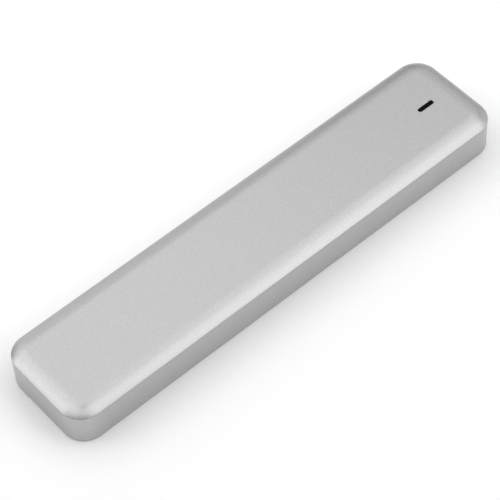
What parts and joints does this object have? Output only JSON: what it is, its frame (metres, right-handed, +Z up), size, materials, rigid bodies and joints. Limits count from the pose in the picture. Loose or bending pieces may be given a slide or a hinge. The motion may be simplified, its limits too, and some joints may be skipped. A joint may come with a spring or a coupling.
{
  "type": "portable gumstick solid state drive",
  "caption": "Slim bead-blasted aluminium case with a crowned top, an indicator slot and an end port, holding a blade solid state drive and its bridge board.",
  "frame": {"origin": "centre of the footprint, on the flat bottom face", "axes": "+X along the case towards the port and the indicator, +Z up through the crowned top"},
  "size_m": [0.1264, 0.027, 0.0104],
  "materials": {
    "housing": "bead blasted, clear anodised",
    "cover": "bead blasted, clear anodised",
    "screw": "turned, bright zinc plated",
    "window": "smoked acrylic, polished",
    "lamp": "clear epoxy on a white base",
    "board": "glass epoxy with green solder mask",
    "package": "black moulded epoxy",
    "crystal_lid": "stamped nickel-silver lid",
    "core": "pressed ferrite",
    "ceramic": "fired ceramic with tinned ends",
    "plug_shell": "folded stainless sheet",
    "insulator": "black moulded polymer",
    "gold": "gold plated",
    "pad": "soft silicone",
    "film": "amber polyimide film"
  },
  "bodies": {
    "root": {"top_housing": "housing", "base_cover": "cover", "cover_screws": "screw", "light_pipe": "window", "indicator_led": "lamp", "bridge_board": "board", "board_screws": "screw", "usb_shell": "plug_shell", "usb_insulator": "insulator", "usb_contacts": "gold", "surge_protector": "package", "bridge_chip": "package", "clock_crystal": "crystal_lid", "firmware_chip": "package", "voltage_regulator": "package", "power_inductor": "core", "board_capacitors": "ceramic", "board_resistors": "ceramic", "blade_socket": "insulator", "socket_contacts": "gold", "blade_board": "board", "edge_fingers": "gold", "flash_chips": "package", "blade_controller": "package", "cache_chip": "package", "blade_power_chip": "package", "blade_capacitors": "ceramic", "blade_screw": "screw", "thermal_pad": "pad", "insulating_film": "film"}
  },
  "joints": []
}
